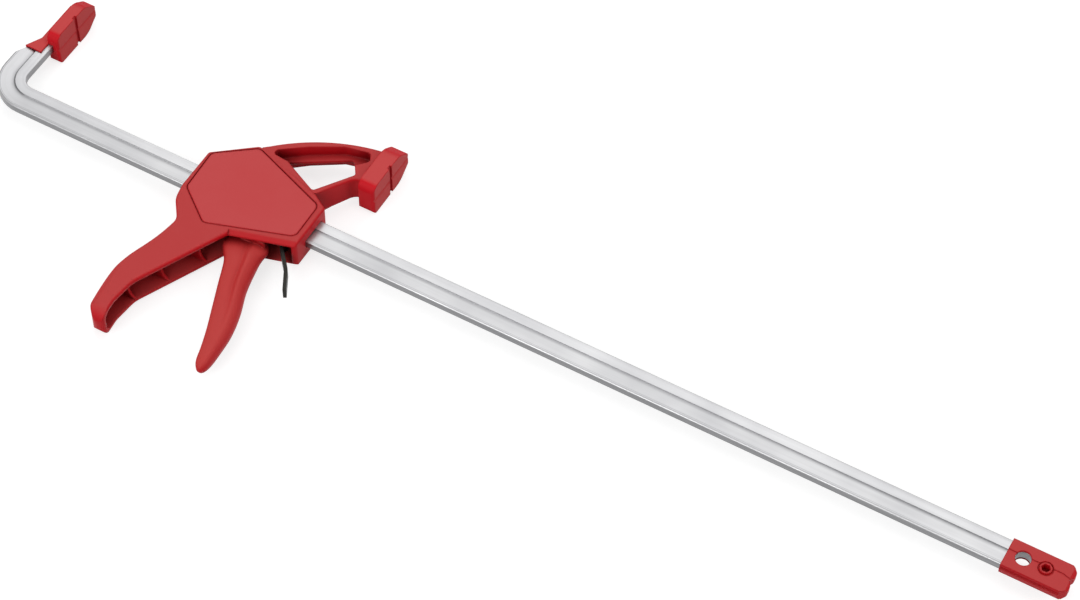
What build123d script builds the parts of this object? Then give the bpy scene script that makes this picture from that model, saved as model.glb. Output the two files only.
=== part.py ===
from build123d import *
import math
import os

# One-handed bar clamp, in millimetres.
# X runs along the bar towards the end cap, Y is the jaw direction and Z is up.
# Z = 0 is the middle of the bar's thickness, and the origin is the axis of the hanging hole.

# Clearances
overrun = 6.0  # how far a cut runs past the face it opens
running_gap = 0.3  # between pieces that slide past each other
seat_gap = 0.15  # between pieces that are pushed together
pin_fit = 0.05  # round a pin, on the radius

# Steel bar, bent into the fixed arm
bar_width = 20.0
bar_thickness = 6.5
bar_edge_chamfer = 0.6
bar_recess_width = 10.9
bar_recess_depth = 1.1
bar_recess_offset = 2.5  # from the bar's middle to the steep side of its recess
bar_recess_corner_shares = [(0.35, 0.7), (0.7, 0.9), (1.3, 1.0)]  # of its depth, across and down
bar_bend_radius = 10.0  # on the inside of the bend
bar_tail = 22.0  # hanging hole to the bar's end
throat_length = 769.3  # hanging hole to the inner edge of the arm
throat_depth = 75.0  # bar's inner edge to the end of the arm
arm_tip_width = 9.2
arm_taper_length = 20.0
arm_tip_length = 34.0  # straight end of the arm, after its taper
hanging_hole_radius = 5.25

# End cap and its peg
cap_thickness = 10.2
cap_width = 23.4
cap_side_slope = 1.0  # how much narrower each side is at the top
cap_back = 11.0  # hanging hole to the cap's mouth
cap_reach = 33.5  # hanging hole to the cap's end
cap_end_slope = 2.4
cap_step = 0.7
cap_step_place = 2.0
cap_corner_radius = 2.0
cap_side_edge_radius = 0.6
cap_side_groove_width = 2.0
cap_side_groove_depth = 0.9
cap_side_groove_place = 0.6  # cap's middle to the groove's near side
peg_place = 15.2  # hanging hole to the peg
peg_radius = 4.1
peg_rise = 0.3
peg_socket_width = 5.5
peg_socket_depth = 6.0
peg_moat_width = 1.0
peg_moat_depth = 0.5

# Pads
pad_length = 46.0
pad_width = 27.2
pad_taper_length = 12.0
pad_tip_width = 9.0
pad_corner_radius = 2.4  # at the near end of the face, and half of it elsewhere
pad_heel_radius = 7.5  # at the near end, above
pad_heel_lower_radius = 3.5
pad_shoulder_radius = 14.0
pad_tip_radius = 5.0
pad_back_radius = 3.0  # at the far end, on the side away from the work
pad_groove_width = 3.0
pad_groove_depth = 1.5
pad_seam_width = 4.0
pad_seam_depth = 0.8
fixed_pad_depth = 9.2
fixed_pad_cover = 5.0  # pad thickness in front of the bar's arm
fixed_pad_overhang = 10.0  # past the end of the bar's arm
fixed_sleeve_wall = 1.0
fixed_sleeve_tongue = 9.3  # sleeve's part below the pad's near end
movable_pad_depth = 12.8
pad_tongue_length = 7.0
pad_tongue_width = 9.0
pad_tongue_height = 14.0
pad_slot_length = 18.0
pad_slot_width = 1.3
fixed_pad_groove_share = 0.495
movable_pad_groove_share = 0.489
movable_pad_place_share = 0.4855

# Sliding head
head_place = 521.5  # hanging hole to the head's front face
head_length = 95.0
head_thickness = 24.0
jaw_reach = 79.0  # bar's middle to the tip of the jaw arm
handle_reach = 136.5  # bar's middle to the tip of the handle
head_corner_radius = 3.0
handle_tip_radius = 11.5
handle_back_radius = 7.0  # along the back of the handle's lower third
handle_back_lag = 2.5  # from the body's rear in to that rounding at the handle's tip
handle_back_slope = 6.3  # degrees at which that rounding runs out behind the handle
handle_back_length = 80.0
head_edge_radius = 1.8
arm_edge_radius = 1.5
belly_bevel_width = 3.2  # along the torso's lower edge
belly_bevel_height = 2.8
end_wall = 3.3
side_wall = 3.4
arm_reach_past_front = 8.0  # front face to the end of the jaw arm
arm_shoulder_length = 7.0  # steeper start of the arm's thinning, beside the cover
arm_shoulder_drop = 1.0
arm_tip_drop = 3.2  # how much thinner the arm's end is, on each side
arm_web_thickness = 2.4
arm_pocket_radius = 3.0
arm_window_radius = 2.2
arm_heel_radius = 10.0
cover_thickness = 1.3
cover_gap = 0.6
cover_corner_radius = 5.0
partition_thickness = 3.0
partition_place_share = 0.7263  # head's rear to the partition's front
rib_thickness = 2.0
rib_hollow_depth = 5.0  # how far the middle of a rib's front is drawn in

# Trigger and its pins
trigger_pivot_share = 0.5316  # head's rear to the pivot
trigger_pivot_height = 6.5  # bar's edge to the pivot
trigger_reach = 135.0  # bar's middle to the trigger's tip
trigger_lean = 45.4  # pivot to the foremost part of the grip, along the bar
trigger_width = 16.0
trigger_slot_gap = 0.75
trigger_crotch_gap = 4.5
trigger_shoulder_gap = 2.0  # round the partition
trigger_root_depth = 8.0  # how far the fork runs down into the grip
trigger_edge_radius = 2.2
trigger_tip_radius = 7.0
trigger_boss_radius = 6.0
pivot_pin_radius = 2.5
thrust_pin_radius = 2.0
thrust_pin_depth = 6.0  # bar's edge to the thrust pin
thrust_pin_lead = 1.0  # how far the thrust pin stands out of the trigger
trigger_heel = 6.5  # pivot to the rear edge of the fork

# Drive plates and their spring
plate_thickness = 2.0
plate_width = 16.0
plate_rise = 4.5  # above the bar's edge
plate_drop = 11.0  # below the bar's edge
plate_count = 3
drive_stroke = 7.7
drive_spring_radius = 5.0
drive_wire_radius = 0.6
drive_spring_turns = 8
drive_spring_drop = 2.5  # bar's edge to the spring
spring_seat_depth = 4.8
guide_flange_thickness = 1.2
guide_rod_radius = 3.2
guide_rod_gap = 5.25  # rod's end to the rear plate, squeezed
guide_stem_radius = 1.8
guide_stem_length = 3.0

# Release lever, its pin and its spring
lever_thickness = 2.5
lever_width = 16.0
lever_tail_width = 9.0
lever_bend_radius = 5.0
lever_bar_gap = 0.9  # hole to the bar's edges
lever_place_share = 0.84  # head's rear to the lever's middle, at the bar
lever_slope = 4.9  # lean of the lever's plate
lever_rise = 5.6
lever_drop = 11.2
lever_tail_reach = 22.3
lever_tail_length = 31.3
lever_elbow_share = (0.61, 0.5)
fulcrum_pin_radius = 1.5
fulcrum_pin_drop = 2.6  # lever's top end to its pin
brake_spring_radius = 4.0
brake_wire_radius = 0.4
brake_spring_turns = 5
brake_spring_drop = 1.5
brake_nub_length = 3.0

# Outline tables. Each row is a place as a share of a length and a reach, then a radius as a share.
head_outline_shares = [
    (0.0, 0.2215, 1.0),
    (0.2947, 0.5, 1.3),
    (0.8726, 0.2861, 0.7),
    (1.0, 0.1937, 0.7),
    (1.0, -0.1604, 0.9),
    (0.5211, -0.2579, 1.2),
    (0.1811, -0.7399, 8.3),
    (0.16, -0.8791, 6.0),
    (0.1758, -0.989, 1.0),
    (0.1053, -1.0, 1.9),
    (0.0368, -0.9597, 4.4),
    (-0.003, -0.8205, 28.0),
    (0.001, -0.6593, 27.0),
    (0.1105, -0.4396, 38.0),
    (0.14, -0.3077, 3.0),
    (0.0232, -0.1978, 6.0),
    (0.0, -0.1099, 5.0),
]
head_open_edges = (4, 5, 6, 7)  # edges of that outline with no wall, counted from its first point
cover_outline_shares = [
    (0.0295, 0.219),
    (0.3074, 0.4684),
    (0.9474, 0.1823),
    (0.9516, -0.1121),
    (0.32, -0.263),
    (0.0432, -0.1136),
]
arm_start_share = (0.3116, 0.503)
arm_middle_share = (0.742, 0.881)
arm_tip_share = 1.0076
arm_heel_share = 0.62
strut_bend_share = (1.0316, 0.612)
strut_root_share = (0.8726, 0.3)
arm_inside_shares = [(0.7526, 0.19), (0.3516, 0.3797)]
window_shares = [(0.462, 0.521), (0.902, 0.857), (1.02, 0.6468), (0.8326, 0.3089)]
pocket_shares = [
    (0.3561, 0.4904),
    (0.595, 0.7127),
    (0.8147, 0.8734),
    (1.0063, 0.9304),
    (1.0442, 0.8418),
    (0.9684, 0.7367),
    (0.86, 0.66),
    (0.53, 0.4785),
]
rib_shares = [(-0.37, 0.4368), (-0.557, 0.2937), (-0.733, 0.1842)]
trigger_grip_shares = [
    (0.511, 0.0336, 3.0),
    (0.727, 0.3866, 60.0),
    (0.945, 0.6108, 40.0),
    (0.991, 0.9156, 14.0),
    (0.935, 1.0, 3.0),
    (0.8, 0.99, 3.0),
    (0.736, 0.947, 20.0),
    (0.659, 0.8035, 30.0),
    (0.075, 0.2176, 12.0),
    (-0.101, 0.1556, 3.0),
    (-0.088, 0.0336, 3.0),
]
trigger_shoulder_share = 0.474
trigger_root_share = 0.505
trigger_back_share = -0.088
cap_end_half_shares = [(0.925, 0.0), (1.0, 0.283), (1.0, 0.664), (0.836, 1.0)]

# Places that several pieces share
bar_edge = bar_width / 2
bar_face = bar_thickness / 2
arm_outer = -throat_length - bar_width
arm_end = bar_edge + throat_depth
head_front = -head_place
head_rear = head_front - head_length
head_face = head_thickness / 2
inner_face = head_face - side_wall
cover_floor = head_face - cover_thickness - pin_fit
pivot = (head_rear + trigger_pivot_share * head_length, bar_edge + trigger_pivot_height)
thrust_pin_y = -bar_edge - thrust_pin_depth
thrust_pin_x = pivot[0] - trigger_heel - thrust_pin_lead + thrust_pin_radius
plate_front = thrust_pin_x - thrust_pin_radius - seat_gap
plate_rear = plate_front - plate_count * plate_thickness - (plate_count - 1) * running_gap
drive_spring_y = -bar_edge - drive_spring_drop - drive_spring_radius
spring_seat = head_rear + end_wall + spring_seat_depth
brake_spring_y = -bar_edge - brake_spring_drop - brake_spring_radius
trigger_crotch = -bar_edge - trigger_crotch_gap
trigger_shoulder = brake_spring_y - brake_spring_radius - trigger_shoulder_gap
partition_front = head_rear + partition_place_share * head_length
partition_rear = partition_front - partition_thickness
arm_end_x = head_front + arm_reach_past_front
movable_pad_near = bar_edge + (jaw_reach - bar_edge) * movable_pad_place_share


def box(low_x, high_x, low_y, high_y, low_z, high_z):
    """A block given by its lowest and highest corners."""
    middle = ((low_x + high_x) / 2, (low_y + high_y) / 2, (low_z + high_z) / 2)
    return Pos(*middle) * Box(high_x - low_x, high_y - low_y, high_z - low_z)


def slab(face, low_z, high_z):
    """A flat outline made solid between two heights."""
    return Pos(0, 0, low_z) * extrude(face, high_z - low_z, dir=(0, 0, 1))


def rod_z(x, y, radius, low_z, high_z):
    """A round rod along Z."""
    return Pos(x, y, (low_z + high_z) / 2) * Cylinder(radius, high_z - low_z)


def rod_x(y, radius, low_x, high_x):
    """A round rod along X, at the middle of the bar's thickness."""
    return Pos((low_x + high_x) / 2, y, 0) * Rot(0, 90, 0) * Cylinder(radius, high_x - low_x)


def rounded(points, radius):
    """A closed outline with rounded corners, as a face."""
    return make_face(FilletPolyline(*points, radius=radius, close=True))


def sharp(points):
    """A closed outline with sharp corners, as a face."""
    return make_face(Polyline(*points, close=True))


def head_point(share):
    """A place on the head: along its length from the rear, and out towards the jaw or the handle."""
    reach = jaw_reach if share[1] > 0 else handle_reach
    return (head_rear + share[0] * head_length, share[1] * reach)


def inset(points, distances):
    """Moves each edge of a clockwise outline inwards by its own distance."""
    lines = []
    for start, end, distance in zip(points, points[1:] + points[:1], distances):
        length = math.hypot(end[0] - start[0], end[1] - start[1])
        along = ((end[0] - start[0]) / length, (end[1] - start[1]) / length)
        lines.append((start[0] + along[1] * distance, start[1] - along[0] * distance, along))
    corners = []
    for first, second in zip(lines[-1:] + lines[:-1], lines):
        turn = first[2][0] * second[2][1] - first[2][1] * second[2][0]
        step = ((second[0] - first[0]) * second[2][1] - (second[1] - first[1]) * second[2][0]) / turn
        corners.append((first[0] + first[2][0] * step, first[1] + first[2][1] * step))
    return corners


def tangent_arcs(start, start_way, end, end_way):
    """Two tangent arcs that join two points of a coil in their own directions."""
    gap = end - start
    ways = start_way + end_way
    spread = 2 * (1 - start_way.dot(end_way))
    reach = (-gap.dot(ways) + math.sqrt(gap.dot(ways) ** 2 + spread * gap.dot(gap))) / spread
    middle = (start + end + (start_way - end_way) * reach) * 0.5
    first = TangentArc(start, middle, tangent=start_way)
    return [first, TangentArc(middle, end, tangent=first % 1)]


def coil(low_x, high_x, y, radius, wire_radius, turns, name):
    """An open compression spring along X, as one tube on quarter turns."""
    mean = radius - wire_radius
    climb = (high_x - low_x - 2 * wire_radius) / turns
    quarters = turns * 4

    def place(quarter):
        angle = quarter * math.pi / 2
        along = low_x + wire_radius + climb * quarter / 4
        return Vector(along, y + mean * math.cos(angle), mean * math.sin(angle))

    def way(quarter):
        angle = quarter * math.pi / 2
        speed = mean * math.pi / 2
        return Vector(climb / 4, -speed * math.sin(angle), speed * math.cos(angle)).normalized()

    arcs = []
    for quarter in range(quarters):
        arcs += tangent_arcs(place(quarter), way(quarter), place(quarter + 1), way(quarter + 1))
    path = Wire(arcs)
    print(name, "least gap between turns", round(climb - 2 * wire_radius, 3))
    section = Plane(origin=place(0), z_dir=way(0)) * Circle(wire_radius)
    return sweep(section, path=path)


def bar_section():
    """The bar's profile: a groove with one steep and one gentle side on each face, alike after a half turn."""
    corner = [
        (bar_recess_offset - across * bar_recess_depth, bar_face - down * bar_recess_depth)
        for across, down in bar_recess_corner_shares
    ]
    half = [
        (bar_edge, bar_face - bar_edge_chamfer),
        (bar_edge - bar_edge_chamfer, bar_face),
        (bar_recess_offset, bar_face),
        *corner,
        (bar_recess_offset - bar_recess_width, bar_face),
        (bar_edge_chamfer - bar_edge, bar_face),
        (-bar_edge, bar_face - bar_edge_chamfer),
    ]
    points = half + [(-across, -up) for across, up in half]
    return Plane.YZ * sharp(points)


def bar():
    """The bar: a long leg, a bend and a tapered arm."""
    bend_x = bar_bend_radius - throat_length
    bend_y = bar_edge + bar_bend_radius
    section = Pos(bend_x, 0, 0) * bar_section()
    leg = extrude(section, bar_tail - bend_x, dir=(1, 0, 0))
    bend = revolve(section, Axis((bend_x, bend_y, 0), (0, 0, -1)), 90)
    arm = extrude(section, arm_end - bend_y, dir=(-1, 0, 0))
    arm = Pos(bend_x, bend_y, 0) * Rot(0, 0, -90) * Pos(-bend_x, -bend_y, 0) * arm
    tip = -throat_length - arm_tip_width
    taper_end = arm_end - arm_tip_length
    taper = [
        (arm_outer - overrun, taper_end - arm_taper_length),
        (arm_outer, taper_end - arm_taper_length),
        (tip, taper_end),
        (tip, arm_end + overrun),
        (arm_outer - overrun, arm_end + overrun),
    ]
    shape = leg + bend + arm - slab(sharp(taper), -bar_thickness, bar_thickness)
    shape -= rod_z(0, 0, hanging_hole_radius, -bar_thickness, bar_thickness)
    return shape - rod_z(peg_place, 0, peg_radius + pin_fit, -bar_thickness, bar_thickness)


def end_cap():
    """The cap: sides that slope away from its middle, a stepped top and two lobes at its end."""
    top = cap_thickness / 2
    half_width = cap_width / 2
    mouth = -cap_back
    lobe = [(x * cap_reach, y * half_width) for x, y in cap_end_half_shares]
    points = [(x, -y) for x, y in reversed(lobe[1:])] + lobe
    outline = [(mouth - overrun, half_width), (mouth - overrun, -half_width)] + points
    radii = [0.0, 0.0] + [cap_corner_radius] * len(points)
    shape = slab(rounded(outline, radii), -top, top)
    section = [
        (half_width - cap_side_slope, -top),
        (half_width, 0),
        (half_width - cap_side_slope, top),
        (cap_side_slope - half_width, top),
        (-half_width, 0),
        (cap_side_slope - half_width, -top),
    ]
    edge = cap_side_edge_radius
    sides = Pos(mouth, 0, 0) * (Plane.YZ * rounded(section, [edge, 0, edge, edge, 0, edge]))
    shape &= extrude(sides, cap_back + cap_reach, dir=(1, 0, 0))
    groove_floor = half_width - cap_side_groove_depth
    groove_high = cap_side_groove_place + cap_side_groove_width
    groove = box(mouth - overrun, cap_reach + overrun, -cap_width, -groove_floor,
                 cap_side_groove_place, groove_high)
    shape -= groove + Rot(180, 0, 0) * groove
    for side in (1, -1):
        end_cut = [
            (cap_reach - cap_end_slope, side * top),
            (cap_reach, side * (top - cap_end_slope)),
            (cap_reach + overrun, side * (top - cap_end_slope)),
            (cap_reach + overrun, side * (top + overrun)),
            (cap_reach - cap_end_slope, side * (top + overrun)),
        ]
        face = Plane.XZ * sharp(end_cut)
        shape -= Pos(0, cap_width, 0) * extrude(face, 2 * cap_width, dir=(0, -1, 0))
        step = [
            (mouth - overrun, side * cap_step_place),
            (cap_reach - 2 * cap_end_slope - cap_corner_radius, side * cap_step_place),
            (cap_reach + overrun, -side * cap_step_place),
            (cap_reach + overrun, -side * cap_width),
            (mouth - overrun, -side * cap_width),
        ]
        lowered = slab(sharp(step), top - cap_step, top + overrun)
        shape -= lowered if side > 0 else mirror(lowered, about=Plane.XY)
    across = bar_edge + seat_gap
    up = bar_face + seat_gap
    shape -= box(mouth - overrun, bar_tail + seat_gap, -across, across, -up, up)
    shape -= rod_z(0, 0, hanging_hole_radius, -cap_thickness, cap_thickness)
    shape -= rod_z(peg_place, 0, peg_radius + pin_fit, -cap_thickness, cap_thickness)
    moat_floor = top - cap_step - peg_moat_depth
    return shape - rod_z(peg_place, 0, peg_radius + peg_moat_width, moat_floor, cap_thickness)


def end_cap_peg():
    """The peg: a plain pin with a six-sided socket in its head."""
    top = cap_thickness / 2 + peg_rise
    socket = RegularPolygon(peg_socket_width / 2, 6, major_radius=False)
    shape = rod_z(peg_place, 0, peg_radius, -cap_thickness / 2, top)
    return shape - Pos(peg_place, 0, 0) * slab(socket, top - peg_socket_depth, top + overrun)


def pad_block(back, near, depth, groove_place):
    """A pad: a block with a tapered far end, a grooved face and a seam along it."""
    half_width = pad_width / 2
    far = near + pad_length
    front = back + depth
    across = [
        (near, -half_width),
        (far - pad_taper_length, -half_width),
        (far, -pad_tip_width / 2),
        (far, pad_tip_width / 2),
        (far - pad_taper_length, half_width),
        (near, half_width),
    ]
    plan = [
        (back, near),
        (front, near),
        (front, far),
        (back, far),
    ]
    corner = pad_corner_radius / 2
    tip_radii = [pad_shoulder_radius, pad_tip_radius, pad_tip_radius, pad_shoulder_radius]
    outline = Plane.YZ * rounded(across, [pad_heel_lower_radius, *tip_radii, pad_heel_radius])
    block = Pos(back - overrun, 0, 0) * extrude(outline, depth + 2 * overrun, dir=(1, 0, 0))
    block &= slab(rounded(plan, [corner, pad_corner_radius, corner, pad_back_radius]), -pad_width, pad_width)
    groove_y = near + groove_place * pad_length
    low = groove_y - pad_groove_width / 2
    high = low + pad_groove_width
    past = front + overrun
    block -= box(front - pad_groove_depth, past, low, high, -pad_width, pad_width)
    seam_reach = pad_seam_width / 2 * (1 + overrun / pad_seam_depth)
    seam = Plane.XZ * sharp([(front - pad_seam_depth, 0), (past, seam_reach), (past, -seam_reach)])
    return block - Pos(0, far + overrun, 0) * extrude(seam, pad_length + 2 * overrun, dir=(0, -1, 0))


def fixed_pad():
    """The fixed pad, with the sleeve that grips the outer edge of the bar's arm."""
    front = fixed_pad_cover - throat_length
    back = front - fixed_pad_depth
    far = arm_end + fixed_pad_overhang
    near = far - pad_length
    shape = pad_block(back, near, fixed_pad_depth, fixed_pad_groove_share)
    tip = -throat_length - arm_tip_width
    taper_end = arm_end - arm_tip_length
    lean = (arm_outer - tip) / arm_taper_length
    low = near - fixed_sleeve_tongue
    wall = fixed_sleeve_wall
    sleeve_top = arm_end + wall + seat_gap
    sleeve = [
        (back + wall, low),
        (tip - wall + lean * (taper_end - low), low),
        (tip - wall, taper_end),
        (tip - wall, sleeve_top),
        (back + wall, sleeve_top),
    ]
    hollow = [
        (seat_gap - throat_length, low - overrun),
        (tip - seat_gap + lean * (taper_end - low + overrun), low - overrun),
        (tip - seat_gap, taper_end),
        (tip - seat_gap, arm_end + seat_gap),
        (seat_gap - throat_length, arm_end + seat_gap),
    ]
    height = bar_face + seat_gap + wall
    shape += slab(sharp(sleeve), -height, height)
    return shape - slab(sharp(hollow), -bar_face - seat_gap, bar_face + seat_gap)


def pad_tongue(gap):
    """The tongue on the jaw arm's end that carries the movable pad."""
    middle = movable_pad_near + pad_length / 2
    reach = pad_tongue_height / 2 + gap
    half = pad_tongue_width / 2 + gap
    high_x = arm_end_x + pad_tongue_length + gap
    return box(arm_end_x - overrun, high_x, middle - reach, middle + reach, -half, half)


def movable_pad():
    """The movable pad, pushed over the tongue of the jaw arm."""
    back = arm_end_x + seat_gap
    block = pad_block(back, movable_pad_near, movable_pad_depth, movable_pad_groove_share)
    return block - pad_tongue(seat_gap)


def jaw_arm():
    """The jaw arm's outline, made solid."""
    start = head_point(arm_start_share)
    tip = (arm_end_x, arm_tip_share * jaw_reach)
    heel = (arm_end_x, arm_heel_share * jaw_reach)
    inside = [head_point(share) for share in arm_inside_shares]
    back = ThreePointArc(start, head_point(arm_middle_share), tip)
    strut = [heel, head_point(strut_bend_share), head_point(strut_root_share)]
    radii = [0.0, arm_heel_radius] + [0.0] * (1 + len(inside))
    rest = FilletPolyline(tip, *strut, *inside, start, radius=radii)
    return slab(make_face(back.edges() + rest.edges()), -head_face, head_face)


def arm_side_cuts():
    """Wedges that thin the jaw arm from the cover's edge to its tip, on both sides."""
    start = head_point(cover_outline_shares[1])
    end = head_point(cover_outline_shares[2])
    turn = math.degrees(math.atan2(end[1] - start[1], end[0] - start[0]))
    span = jaw_reach - bar_edge
    wedge = sharp([
        (0, head_face),
        (arm_shoulder_length, head_face - arm_shoulder_drop),
        (span, head_face - arm_tip_drop),
        (span, head_face + overrun),
        (0, head_face + overrun),
    ])
    upper = extrude(Plane.YZ * wedge, 4 * head_length, both=True)
    upper = Pos(start[0], start[1], 0) * Rot(0, 0, turn) * upper
    return upper + mirror(upper, about=Plane.XY)


def belly_bevels():
    """Wedges that slope the torso's lower edge, on both sides."""
    start = head_point(head_outline_shares[4])
    end = head_point(head_outline_shares[5])
    turn = math.degrees(math.atan2(end[1] - start[1], end[0] - start[0]))
    length = math.hypot(end[0] - start[0], end[1] - start[1])
    low = head_face - belly_bevel_height
    slope = belly_bevel_height / belly_bevel_width
    wedge = sharp([
        (-belly_bevel_width, head_face),
        (0, low),
        (overrun, low - slope * overrun),
        (overrun, head_face + overrun),
        (-belly_bevel_width, head_face + overrun),
    ])
    upper = Pos(-overrun, 0, 0) * extrude(Plane.YZ * wedge, length + overrun, dir=(1, 0, 0))
    upper = Pos(start[0], start[1], 0) * Rot(0, 0, turn) * upper
    return upper + mirror(upper, about=Plane.XY)


def handle_tip_round(depth, half):
    """A long block whose handle end is rounded, that far inside the tip and so far from the middle."""
    radius = handle_tip_radius - depth
    face = Plane.YZ * rounded([
        (depth - handle_reach, -half),
        (jaw_reach + overrun, -half),
        (jaw_reach + overrun, half),
        (depth - handle_reach, half),
    ], [radius, 0, 0, radius])
    return Pos(head_rear - overrun, 0, 0) * extrude(face, head_length + 2 * overrun, dir=(1, 0, 0))


def handle_back_cuts():
    """What is rounded off the back of the handle towards its tip, on both sides."""
    radius = handle_back_radius
    low = head_face - radius
    block = box(-handle_back_length, radius, 0, handle_back_length, low, head_face + overrun)
    block -= Pos(radius, 0, low) * Rot(90, 0, 0) * Cylinder(radius, 3 * handle_back_length)
    upper = Pos(head_rear + handle_back_lag, -handle_reach - overrun, 0) * Rot(0, 0, handle_back_slope) * block
    return upper + mirror(upper, about=Plane.XY)


def rib_block(x_share, y_share):
    """A rib across the handle, its front edge drawn in between the side walls."""
    front, middle = head_point((x_share, y_share))
    half = rib_thickness / 2
    inner = inner_face + side_wall / 2
    rib = box(head_rear - overrun, front, middle - half, middle + half, -inner, inner)
    radius = (inner_face ** 2 + rib_hollow_depth ** 2) / (2 * rib_hollow_depth)
    hollow = Rot(90, 0, 0) * Cylinder(radius, 2 * rib_thickness)
    return rib - Pos(front + radius - rib_hollow_depth, middle, 0) * hollow


def head_cavity():
    """The space inside the body and the handle, open underneath and towards the trigger."""
    points = [head_point(share) for share in head_outline_shares]
    distances = [-overrun if edge in head_open_edges else end_wall for edge in range(len(points))]
    return slab(sharp(inset(points, distances)), -inner_face, inner_face) & handle_tip_round(end_wall, inner_face)


def head_housing():
    """Body, handle and jaw arm in one moulding, with its inner walls and seats."""
    points = [head_point(share) for share in head_outline_shares]
    radii = [share[2] * head_corner_radius for share in head_outline_shares]
    outer = slab(rounded(points, radii), -head_face, head_face)
    levels = outer.edges().group_by(Axis.Z)
    outer = fillet(levels[0] + levels[-1], head_edge_radius) & handle_tip_round(0, head_face)
    outer -= belly_bevels() + handle_back_cuts()
    arm = jaw_arm() - arm_side_cuts()
    shape = outer + fillet(arm.edges().filter_by(GeomType.ELLIPSE), arm_edge_radius)
    window = rounded([head_point(share) for share in window_shares], arm_window_radius)
    shape -= slab(window, -head_face, head_face)
    pocket = rounded([head_point(share) for share in pocket_shares], arm_pocket_radius)
    web = arm_web_thickness / 2
    shape -= slab(pocket, web, head_face + overrun)
    shape -= slab(pocket, -head_face - overrun, -web)
    shape -= head_cavity()

    # Partition in front of the trigger, ribs across the handle and the drive spring's seat
    inner = inner_face + side_wall / 2
    low = brake_spring_y - brake_spring_radius
    walls = box(partition_rear, partition_front, low, jaw_reach, -inner, inner)
    for y_share, x_share in rib_shares:
        walls += rib_block(x_share, y_share)
    seat_reach = drive_spring_radius + rib_thickness / 2
    seat_low = drive_spring_y - seat_reach
    seat_high = drive_spring_y + seat_reach
    walls += box(head_rear, spring_seat, seat_low, seat_high, -seat_reach, seat_reach)
    shape += walls & outer
    nub = brake_spring_radius - 2 * brake_wire_radius - running_gap
    shape += rod_x(brake_spring_y, nub, partition_front - rib_thickness, partition_front + brake_nub_length)
    shape += pad_tongue(0) & box(arm_end_x - rib_thickness, arm_end_x + overrun + pad_tongue_length,
                                 0, jaw_reach, -head_face, head_face)

    # Passage for the bar, seats for the covers and bores for the pins
    across = bar_edge + running_gap
    up = bar_face + running_gap
    shape -= box(head_rear - overrun, head_front + overrun, -across, across, -up, up)
    cover = [head_point(share) for share in cover_outline_shares]
    seat = rounded(inset(cover, [-cover_gap] * len(cover)), cover_corner_radius + cover_gap)
    shape -= slab(seat, cover_floor, head_face + overrun)
    shape -= slab(seat, -head_face - overrun, -cover_floor)
    shape -= rod_z(*pivot, pivot_pin_radius + pin_fit, -head_face, head_face)
    shape -= rod_z(*fulcrum(), fulcrum_pin_radius + pin_fit, -head_face, head_face)
    stem = guide_stem_length + pin_fit
    shape -= rod_x(drive_spring_y, guide_stem_radius + pin_fit, spring_seat - stem, spring_seat + overrun)
    slot_middle = movable_pad_near + pad_length / 2
    for side in (1, -1):
        low_z, high_z = sorted((side * (pad_tongue_width / 2 + rib_thickness), side * (head_face + overrun)))
        shape -= box(arm_end_x - pad_slot_width, arm_end_x + overrun,
                     slot_middle - pad_slot_length / 2, slot_middle + pad_slot_length / 2, low_z, high_z)
    return shape


def side_cover(side):
    """A six-sided cover panel in its seat, which also keeps the pins in."""
    face = rounded([head_point(share) for share in cover_outline_shares], cover_corner_radius)
    low_z, high_z = sorted((side * (head_face - cover_thickness), side * head_face))
    return slab(face, low_z, high_z)


def trigger():
    """The trigger: a rounded grip that forks round the bar and turns on its pivot."""
    half = trigger_width / 2
    length = trigger_reach + trigger_shoulder
    grip = [
        (pivot[0] + x * trigger_lean, trigger_shoulder - y * length)
        for x, y, radius in trigger_grip_shares
    ]
    shape = slab(rounded(grip, [share[2] for share in trigger_grip_shares]), -half, half)
    levels = shape.edges().group_by(Axis.Z)
    shape = fillet(levels[0] + levels[-1], trigger_edge_radius)
    front_view = Plane.YZ * rounded([
        (-trigger_reach, -half),
        (bar_edge, -half),
        (bar_edge, half),
        (-trigger_reach, half),
    ], [trigger_tip_radius, 0, 0, trigger_tip_radius])
    shape &= Pos(pivot[0], 0, 0) * extrude(front_view, 2 * trigger_lean, both=True)

    # The fork: a boss round the pivot, a front edge behind the partition and a root in the grip
    heel = pivot[0] - trigger_heel
    boss = trigger_boss_radius
    fork_front = partition_rear - trigger_shoulder_gap
    root = trigger_shoulder - trigger_root_depth
    fork = [
        (heel, pivot[1] + boss),
        (pivot[0] + boss, pivot[1] + boss),
        (fork_front, trigger_crotch + trigger_shoulder_gap),
        (fork_front, trigger_shoulder),
        (pivot[0] + trigger_shoulder_share * trigger_lean, trigger_shoulder),
        (pivot[0] + trigger_root_share * trigger_lean, trigger_shoulder - trigger_root_depth / 2),
        (pivot[0] + trigger_root_share * trigger_lean, root),
        (pivot[0] + trigger_back_share * trigger_lean, root),
        (pivot[0] + trigger_back_share * trigger_lean, trigger_shoulder),
        (heel, thrust_pin_y - thrust_pin_radius - thrust_pin_lead),
    ]
    corner = boss - pin_fit
    shape += slab(rounded(fork, [corner, corner] + [0.0] * (len(fork) - 2)), -half, half)
    up = bar_face + trigger_slot_gap
    low_x = pivot[0] - trigger_lean
    high_x = pivot[0] + trigger_lean
    shape -= box(low_x, high_x, trigger_crotch, pivot[1] + 2 * boss, -up, up)
    shape -= rod_z(*pivot, pivot_pin_radius + pin_fit, -trigger_width, trigger_width)
    bore = thrust_pin_radius + pin_fit
    return shape - rod_z(thrust_pin_x, thrust_pin_y, bore, -trigger_width, trigger_width)


def thrust_pin():
    """The cross pin in the trigger's fork that pushes on the drive plates."""
    half = trigger_width / 2
    return rod_z(thrust_pin_x, thrust_pin_y, thrust_pin_radius, -half, half)


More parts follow.
